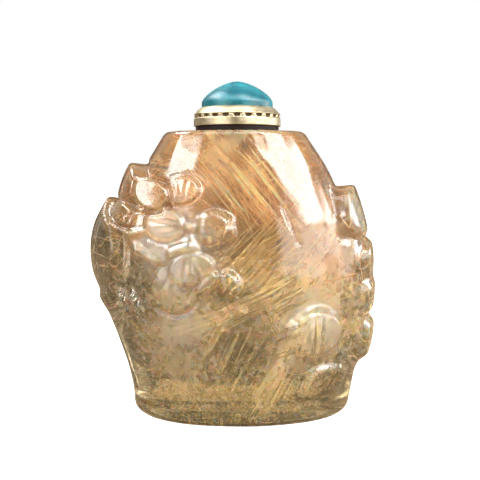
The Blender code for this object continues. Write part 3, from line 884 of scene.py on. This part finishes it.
class Finish(Nodes):
    """A material, with short calls for its patterns."""

    def __init__(self, name):
        self.made = bpy.data.materials.new(name)
        self.made.use_nodes = True
        super().__init__(self.made.node_tree)
        self.place = self.add("ShaderNodeTexCoord", "Object")

    def set(self, **values):
        for name, value in values.items():
            self.feed(self.tree.nodes["Principled BSDF"].inputs[name.replace("_", " ")], value)

    def mapped(self, scale=(1, 1, 1), turn=(0, 0, 0), shift=(0, 0, 0)):
        """Coordinates turned by degrees, then divided by the scale, which stretches a pattern by it."""
        turned = [math.radians(angle) for angle in turn]
        inputs = {"Vector": self.place, "Scale": scale, "Rotation": turned, "Location": shift}
        return self.add("ShaderNodeMapping", "Vector", inputs, vector_type="TEXTURE")

    def noise(self, scale, detail=3.0, roughness=0.5, vector=None, distortion=0.0):
        inputs = {"Vector": self.place if vector is None else vector, "Scale": scale}
        inputs |= {"Detail": detail, "Roughness": roughness, "Distortion": distortion}
        return self.add("ShaderNodeTexNoise", "Fac", inputs)

    def mix(self, share, first, second, blend="MIX"):
        inputs = {"Factor": share, "A": first, "B": second}
        return self.add("ShaderNodeMix", "Result", inputs, data_type="RGBA", blend_type=blend)

    def patch(self, middle, radius):
        """1 at a place in millimetres, fading to 0 at the radius."""
        inputs = {0: self.place, 1: [value * MM for value in middle]}
        away = self.add("ShaderNodeVectorMath", "Value", inputs, operation="DISTANCE")
        return self.ramp(away, 0.0, radius * MM, 1.0, 0.0)

    def bump(self, value, strength, distance):
        """Adds the relief that only shades, and returns the material."""
        inputs = {"Height": value, "Strength": strength, "Distance": distance}
        self.set(Normal=self.add("ShaderNodeBump", "Normal", inputs))
        return self.made


# The stone's colours
OLIVE = (0.90, 0.69, 0.31)
ORANGE = (0.74, 0.46, 0.24)
PEACH = (0.94, 0.68, 0.49)
GOLD = (1.0, 0.82, 0.50)
HONEY = (1.0, 0.80, 0.50)
PALE = (0.98, 0.86, 0.68)
MILKY = (0.90, 0.84, 0.70)
PINK = (0.98, 0.62, 0.44)
RUST = (0.66, 0.30, 0.14)
DARK_TAN = (0.36, 0.24, 0.10)
DARK_AMBER = (0.40, 0.20, 0.09)
DARK_OLIVE = (0.20, 0.16, 0.07)
GREY_GREEN = (0.16, 0.14, 0.08)
SHADE = (0.16, 0.12, 0.05)
GREEN_FLECK = (0.26, 0.29, 0.15)
PINK_FLECK = (0.98, 0.62, 0.48)
PALE_FLECK = (1.0, 0.90, 0.68)
GOLD_STREAK = (1.0, 0.82, 0.46)
# How much the ground wall of the hollow is darkened, painted shade for the inside of the hollow, which also
# lets less of the light through
HOLLOW_SHADE = (0.50, 0.46, 0.42)

# The stone's colour by region, with painted shade as well at the left side: middle in millimetres, radius,
# colour and strength
Region = namedtuple("Region", "middle radius colour strength")
REGIONS = [Region(*row) for row in (
    ((3, -11, 41), 14, ORANGE, 1.1),
    ((0, -8, 50), 12, HONEY, 1.0),
    ((14, -9, 36), 13, PEACH, 0.9),
    ((12, -12, 27), 10, PEACH, 0.8),
    ((13, -13, 17), 9, GOLD, 1.0),
    ((20, -7, 25), 8, ORANGE, 0.6),
    ((21, -8, 35), 6, PALE, 1.0),
    # the stone's grey-green at the left side, made darker still as painted shade for that side and its edge
    ((-27, -5, 26), 16, GREY_GREEN, 2.4),
    ((-23, -4, 12), 14, GREY_GREEN, 2.4),
    ((18, -11, 7.5), 10, DARK_TAN, 1.4),
    ((-10, -14, 16), 7, PALE, 0.9),
    ((-10, -14, 29), 11, PALE, 1.6),
    ((13, -14.5, 17), 7.5, PALE, 2.0),
    ((-17.5, -12, 23), 8, GREY_GREEN, 1.4),
    ((3, 11, 38), 16, ORANGE, 0.6),
    ((-12, 12, 24), 10, GOLD, 0.5),
    ((5, -14.5, 32), 6.5, DARK_TAN, 1.1),
    ((5, -14, 37), 4.5, RUST, 0.8),
    ((18, -11, 25), 5.5, PINK, 0.8),
    ((0, -15.5, 20), 6.5, DARK_TAN, 1.0),
    ((-3, -15.5, 13), 6, DARK_TAN, 1.0),
    ((-7, -15, 10), 5.5, GOLD, 0.7),
    ((7, -15, 12), 4.5, GOLD, 0.7),
)]
# Darker and milkier places that show through the flecks too. The two dark ones at the left edge are painted
# shade, for its dark rim.
DEEP_REGIONS = [Region(*row) for row in (
    # painted shade that darkens the left edge
    ((-23, -2, 13), 12, SHADE, 1.6),
    ((-25, -6, 23), 9, SHADE, 0.8),
    ((0.5, -15.5, 13.5), 6.5, SHADE, 0.7),
    ((-10, -14.5, 9.5), 5.5, GOLD, 0.5),
    ((1.5, -15, 30.5), 5.5, SHADE, 0.35),
    ((4.5, -14, 37.5), 5, RUST, 0.4),
    ((16, -12.5, 28.5), 5.5, PINK, 0.5),
    ((22, -7, 36), 6, MILKY, 0.7),
    ((-10, -14.5, 24.5), 4.5, MILKY, 0.4),
    ((3.5, -15.5, 21.5), 5, SHADE, 0.4),
    ((18, -11, 6.5), 8, SHADE, 0.8),
    ((-8.5, -14.5, 17), 5.5, MILKY, 0.7),
    ((12.5, -15, 18.5), 6.5, MILKY, 1.6),
    ((-8, -14.5, 30.5), 8, MILKY, 0.6),
)]
# Heights in metres between which the stone turns warmer, its flecks thin out, they set in over the foot,
# and the foot's shade fades
WARM_SPAN = (0.020, 0.038)
FLECK_SPAN = (0.020, 0.036)
FLECK_START = (0.004, 0.012)
FOOT_SPAN = (0.003, 0.014)
FOOT_SHADE = 0.42
# The flecks: scale of their noise, and colour
FLECKS = ((760, GREEN_FLECK), (900, PINK_FLECK), (1050, PALE_FLECK))

# Silky streaks in the stone: the lean of each lot to the right of upright, as seen from the front, in
# degrees, and the middle and radius of the part of the stone that it runs through
Streaks = namedtuple("Streaks", "lean middle radius")
STREAKS = [Streaks(*row) for row in (
    (-40, (3, -12, 41), 16),
    (40, (9, -13, 28), 15),
    (62, (2, -14, 21), 17),
    (24, (4, -14, 10), 16),
    (-3, (14, -13, 16), 9),
    (30, (0, 14, 33), 20),
    (-50, (-2, 14, 16), 20),
)]
# A lot has dark fibres with bright ones over them: scale, detail and stretch of their noise, how much
# further they lean, the part of the noise that shows, and their strength
Fibres = namedtuple("Fibres", "scale detail stretch lean low high strength")
DARK_FIBRES = Fibres(1300, 2, (1, 8, 22), 6, 0.50, 0.64, 1.0)
BRIGHT_FIBRES = Fibres(2700, 1, (1, 10, 50), 0, 0.54, 0.63, 1.4)


def tinted(finish, colour, regions):
    """The colour with each region's own laid over it in turn."""
    for region in regions:
        share = finish.times(finish.patch(region.middle, region.radius), region.strength)
        colour = finish.mix(share, colour, region.colour)
    return colour


def stone_colour(finish, streaks):
    """Olive tan with warmer and paler regions, a dark foot, cloudy patches, flecks low down and streaks."""
    height = finish.part(finish.place, "Z")
    warm = finish.ramp(height, *WARM_SPAN)
    colour = tinted(finish, finish.mix(warm, OLIVE, ORANGE), REGIONS)
    dark = finish.mix(warm, DARK_OLIVE, DARK_AMBER)
    colour = finish.mix(finish.ramp(height, *FOOT_SPAN, FOOT_SHADE, 0.0), colour, dark)
    cloudy = finish.noise(300, 5, 0.65)
    colour = finish.mix(finish.ramp(cloudy, 0.44, 0.66, 0.0, 0.7), colour, dark)
    low_down = finish.ramp(height, *FLECK_SPAN, 1.0, 0.1)
    low_down = finish.times(low_down, finish.ramp(height, *FLECK_START, 0.4, 1.0))
    for scale, fleck in FLECKS:
        speckled = finish.ramp(finish.noise(scale, 4, 0.65), 0.48, 0.64, 0.0, 0.95)
        colour = finish.mix(finish.times(speckled, low_down), colour, fleck)
    colour = tinted(finish, colour, DEEP_REGIONS)
    for index, lot in enumerate(STREAKS):
        place = (0.1 * index, 0, 0)
        gathered = finish.noise(110, 1, 0.5, finish.mapped(shift=place))
        here = finish.times(finish.ramp(gathered, 0.36, 0.58), finish.patch(lot.middle, lot.radius))
        for fibres, tint in ((DARK_FIBRES, dark), (BRIGHT_FIBRES, GOLD_STREAK)):
            way = finish.mapped(fibres.stretch, (0, lot.lean + fibres.lean, 0), place)
            fibre = finish.noise(fibres.scale, fibres.detail, 0.5, way)
            fibre = finish.ramp(fibre, fibres.low, fibres.high, 0.0, fibres.strength * streaks)
            colour = finish.mix(finish.times(fibre, here), colour, tint)
    return colour


def polished_quartz():
    finish = Finish("polished_quartz")
    smudge = finish.noise(260, 4, 0.6)
    finish.set(
        Base_Color=stone_colour(finish, 1.0),
        Roughness=finish.ramp(smudge, 0.35, 0.75, 0.03, 0.08),
        IOR=1.544,
        Transmission_Weight=0.86,
        Subsurface_Weight=1.0,
        Subsurface_Radius=(1.0, 0.62, 0.36),
        Subsurface_Scale=0.005,
    )
    return finish.bump(finish.noise(420, 3, 0.5), 0.06, 0.0002)


def matte_quartz():
    finish = Finish("matte_quartz")
    grinding = finish.noise(900, 4, 0.6, finish.mapped((12, 12, 1)))
    # the hollow's wall takes the stone's colour darkened by painted shade
    finish.set(
        Base_Color=finish.mix(1.0, stone_colour(finish, 0.4), HOLLOW_SHADE, "MULTIPLY"),
        Roughness=finish.ramp(grinding, 0.3, 0.7, 0.42, 0.62),
        IOR=1.544,
        Transmission_Weight=0.45,
    )
    return finish.bump(grinding, 0.35, 0.0003)


def plain_finish(name, tone, dark, pale, roughness, strength, distance, relief=None, **values):
    """A material whose colour and roughness follow one noise. Its relief may have a noise of its own."""
    finish = Finish(name)
    tone = finish.noise(*tone)
    rough = finish.ramp(tone, 0.3, 0.7, *roughness)
    finish.set(Base_Color=finish.mix(tone, dark, pale), Roughness=rough, **values)
    return finish.bump(finish.noise(*relief) if relief else tone, strength, distance)


def rutile():
    return plain_finish(
        "golden_rutile", (90, 2, 0.5), (0.96, 0.74, 0.38), (1.0, 0.93, 0.72), (0.35, 0.55), 0.1, 0.00005,
        relief=(3000, 2, 0.5), Metallic=0.1, IOR=2.2,
    )


def veil():
    return plain_finish(
        "pale_veil", (400, 2, 0.5), (0.98, 0.80, 0.56), (0.86, 0.80, 0.50), (0.3, 0.6), 0.2, 0.00005,
        relief=(4000, 2, 0.5), Transmission_Weight=0.3,
    )


def dark_collar():
    return plain_finish(
        "dark_collar", (900, 5, 0.6), (0.004, 0.002, 0.002), (0.020, 0.009, 0.006), (0.45, 0.7), 0.2, 0.0001,
        Specular_IOR_Level=0.15,
    )


# Painted shade for the bezel's holes, a dark finish on their deeper faces
def hole_shade():
    return plain_finish(
        "hole_shade", (1800, 4, 0.6), (0.03, 0.02, 0.008), (0.16, 0.10, 0.04), (0.5, 0.8), 0.3, 0.0001,
        Metallic=0.4,
    )


def cork_bark():
    return plain_finish(
        "cork_bark", (900, 6, 0.7), (0.24, 0.13, 0.06), (0.62, 0.42, 0.25), (0.8, 0.95), 0.5, 0.0003
    )


def gilt_metal():
    finish = Finish("gilt_metal")
    worn = finish.noise(700, 5, 0.6)
    fine = finish.noise(2600, 3, 0.5, finish.mapped((5, 5, 1)))
    finish.set(
        Base_Color=finish.mix(finish.ramp(worn, 0.4, 0.7), (0.44, 0.37, 0.23), (0.57, 0.50, 0.36)),
        Metallic=1.0,
        Roughness=finish.ramp(worn, 0.3, 0.7, 0.34, 0.52),
    )
    return finish.bump(fine, 0.15, 0.0001)


def turquoise_stone():
    finish = Finish("turquoise_stone")
    cloud = finish.noise(260, 5, 0.6, distortion=0.6)
    fleck = finish.noise(1400, 3, 0.5)
    colour = finish.mix(finish.ramp(cloud, 0.35, 0.7), (0.0, 0.12, 0.155), (0.005, 0.27, 0.32))
    colour = finish.mix(finish.ramp(fleck, 0.6, 0.75, 0.0, 0.35), colour, (0.09, 0.37, 0.41))
    finish.set(
        Base_Color=colour,
        Roughness=finish.ramp(cloud, 0.3, 0.7, 0.30, 0.45),
        Transmission_Weight=0.45,
        Subsurface_Weight=1.0,
        Subsurface_Radius=(0.3, 0.9, 1.0),
        Subsurface_Scale=0.002,
        IOR=1.61,
        Specular_IOR_Level=0.25,
    )
    return finish.bump(fleck, 0.05, 0.0001)


FLOOR_SIZE = 6.0
FLOOR_GLOW = 0.9
FLOOR_MIRRORED = (0.20, 0.15, 0.09)
WHITE = (1.0, 1.0, 1.0)
BACKDROP_GLOW = 1.0
ROOM_COLOUR = (1.0, 0.95, 0.86)
# How bright the room is on the viewer's side and behind the bottle, and where it changes between them,
# by how far a direction points backward
ROOM_GLOW = (0.12, 0.8)
ROOM_SPAN = (0.2, 0.7)
# A dark screen straight behind the bottle gives it dark edges: the share of the glow that is left there
SCREEN_SHARE = (1.0, 0.05)
SCREEN_SPAN = (0.68, 0.86)


def make_floor():
    """Pale to the camera, and dimmer in what the stone and the metal mirror."""
    finish = Finish("pale_floor")
    tone = finish.noise(20, 3, 0.5)
    seen = finish.seen_by_camera()
    pale = finish.mix(tone, (0.93, 0.93, 0.93), (0.96, 0.96, 0.96))
    finish.set(
        Base_Color=finish.mix(seen, FLOOR_MIRRORED, pale),
        Roughness=finish.ramp(tone, 0.3, 0.7, 0.75, 0.85),
        Emission_Color=WHITE,
        Emission_Strength=finish.times(seen, FLOOR_GLOW),
    )
    pale_floor = finish.bump(tone, 0.05, 0.001)
    half = FLOOR_SIZE / 2
    corners = [(-half, -half, 0), (half, -half, 0), (half, half, 0), (-half, half, 0)]
    floor = new_object("studio_floor", new_mesh("studio_floor", corners, [(0, 1, 2, 3)]), pale_floor)


# Soft boxes: the brightness of each, and its four corners from the lower left round to the upper left, as
# the bottle sees them, in degrees to the right of the viewer's side and up
SoftBox = namedtuple("SoftBox", "name brightness corners")
SOFT_BOXES = [SoftBox(*row) for row in (
    ("left_box", 15, ((-72, 33.5), (-36, 33.5), (-34, 41), (-84, 40))),
    ("right_box", 16, ((54, 24), (76, 24), (92, 38), (12, 42.5))),
    ("bar_box", 16, ((-66, 27), (-43, 27), (-43, 33), (-66, 33))),
    ("right_glow_box", 5, ((58, 8), (98, 8), (98, 20), (58, 20))),
    ("front_right_box", 3.6, ((24, 0), (60, 0), (60, 24), (24, 24))),
    ("front_left_box", 3.6, ((-66, 0), (-22, 0), (-22, 26), (-66, 26))),
    ("right_edge_box", 13, ((104, 5), (116, 5), (116, 18), (104, 18))),
    ("right_mid_box", 12, ((80, 12), (98, 12), (98, 24), (80, 24))),
    ("overhead_box", 5, ((-60, 54), (20, 54), (20, 78), (-60, 78))),
    ("overhead_right_box", 16, ((28, 40), (62, 40), (62, 82), (24, 82))),
    ("overhead_left_box", 15, ((-135, 42), (-80, 48), (-80, 62), (-135, 62))),
)]
AIM_HEIGHT = 30 * MM
PANEL_DISTANCE = 0.7
PANEL_CELLS = 6
# A soft box fades out through layers behind it: how much larger each is in degrees, and its share of the
# brightness
PANEL_LAYERS = ((0, 1.0), (1.5, 0.4), (4, 0.12))
LAYER_GAP = 10 * MM


def make_panel(name, corners, distance, brightness):
    """A curved panel that glows evenly, between four corners in degrees round and up from the bottle."""
    low_left, low_right, high_right, high_left = (np.array(corner, float) for corner in corners)
    points, faces = [], []
    shares = np.linspace(0, 1, PANEL_CELLS + 1)
    for row, up in enumerate(shares):
        for column, across in enumerate(shares):
            low = low_left + (low_right - low_left) * across
            high = high_left + (high_right - high_left) * across
            bearing, rise = np.radians(low + (high - low) * up)
            x, y = math.sin(bearing) * math.cos(rise), -math.cos(bearing) * math.cos(rise)
            points.append((distance * x, distance * y, AIM_HEIGHT + distance * math.sin(rise)))
            if row < PANEL_CELLS and column < PANEL_CELLS:
                first = row * (PANEL_CELLS + 1) + column
                faces.append((first, first + 1, first + PANEL_CELLS + 2, first + PANEL_CELLS + 1))
    glow = bpy.data.materials.new(name)
    glow.use_nodes = True
    nodes = Nodes(glow.node_tree)
    nodes.tree.nodes.remove(nodes.tree.nodes["Principled BSDF"])
    nodes.show("Material Output", nodes.add("ShaderNodeEmission", "Emission", {"Strength": brightness}))
    panel = new_object(name, new_mesh(name, points, faces), glow)
    panel.visible_camera = False


def make_lights():
    outward = ((-1, -1), (1, -1), (1, 1), (-1, 1))
    for box in SOFT_BOXES:
        for layer, (margin, share) in enumerate(PANEL_LAYERS):
            margins = np.multiply(outward, margin)
            distance = PANEL_DISTANCE + layer * LAYER_GAP
            make_panel(f"{box.name}_{layer}", box.corners + margins, distance, box.brightness * share)


def make_world():
    """White where the camera sees it, and a dimmer room to the stone and the metal."""
    world = bpy.data.worlds.new("studio")
    world.use_nodes = True
    nodes = Nodes(world.node_tree)
    nodes.tree.nodes.remove(nodes.tree.nodes["Background"])
    backward = nodes.part(nodes.add("ShaderNodeTexCoord", "Generated"), "Y")
    screened = nodes.ramp(backward, *SCREEN_SPAN, *SCREEN_SHARE)
    glow = nodes.times(nodes.ramp(backward, *ROOM_SPAN, *ROOM_GLOW), screened)
    room, seen = [
        nodes.add("ShaderNodeBackground", "Background", {"Color": colour, "Strength": strength})
        for colour, strength in ((ROOM_COLOUR, glow), (WHITE, BACKDROP_GLOW))
    ]
    both = nodes.add("ShaderNodeMixShader", "Shader", {"Fac": nodes.seen_by_camera(), 1: room, 2: seen})
    nodes.show("World Output", both)
    bpy.context.scene.world = world
    bpy.context.scene.view_settings.view_transform = "Standard"


def make_camera():
    lens = bpy.data.cameras.new("camera")
    lens.sensor_width = SENSOR_WIDTH
    lens.lens = FOCAL_PIXELS / IMAGE_WIDTH * SENSOR_WIDTH
    lens.clip_start = 0.01
    camera = new_object("camera", lens)
    camera.location = CAMERA_PLACE
    camera.rotation_euler = (math.pi / 2 - CAMERA_SLOPE, 0, 0)
    bpy.context.scene.camera = camera


make_camera()
make_world()
make_lights()
make_floor()

stone = make_stone(polished_quartz(), matte_quartz())
stone_tree = BVHTree.FromObject(stone, bpy.context.evaluated_depsgraph_get())
make_needles(stone_tree, rutile())
make_veils(stone_tree, veil())
make_collar(dark_collar())
make_bezel(gilt_metal(), hole_shade())
make_cabochon(turquoise_stone())
make_cork(cork_bark())
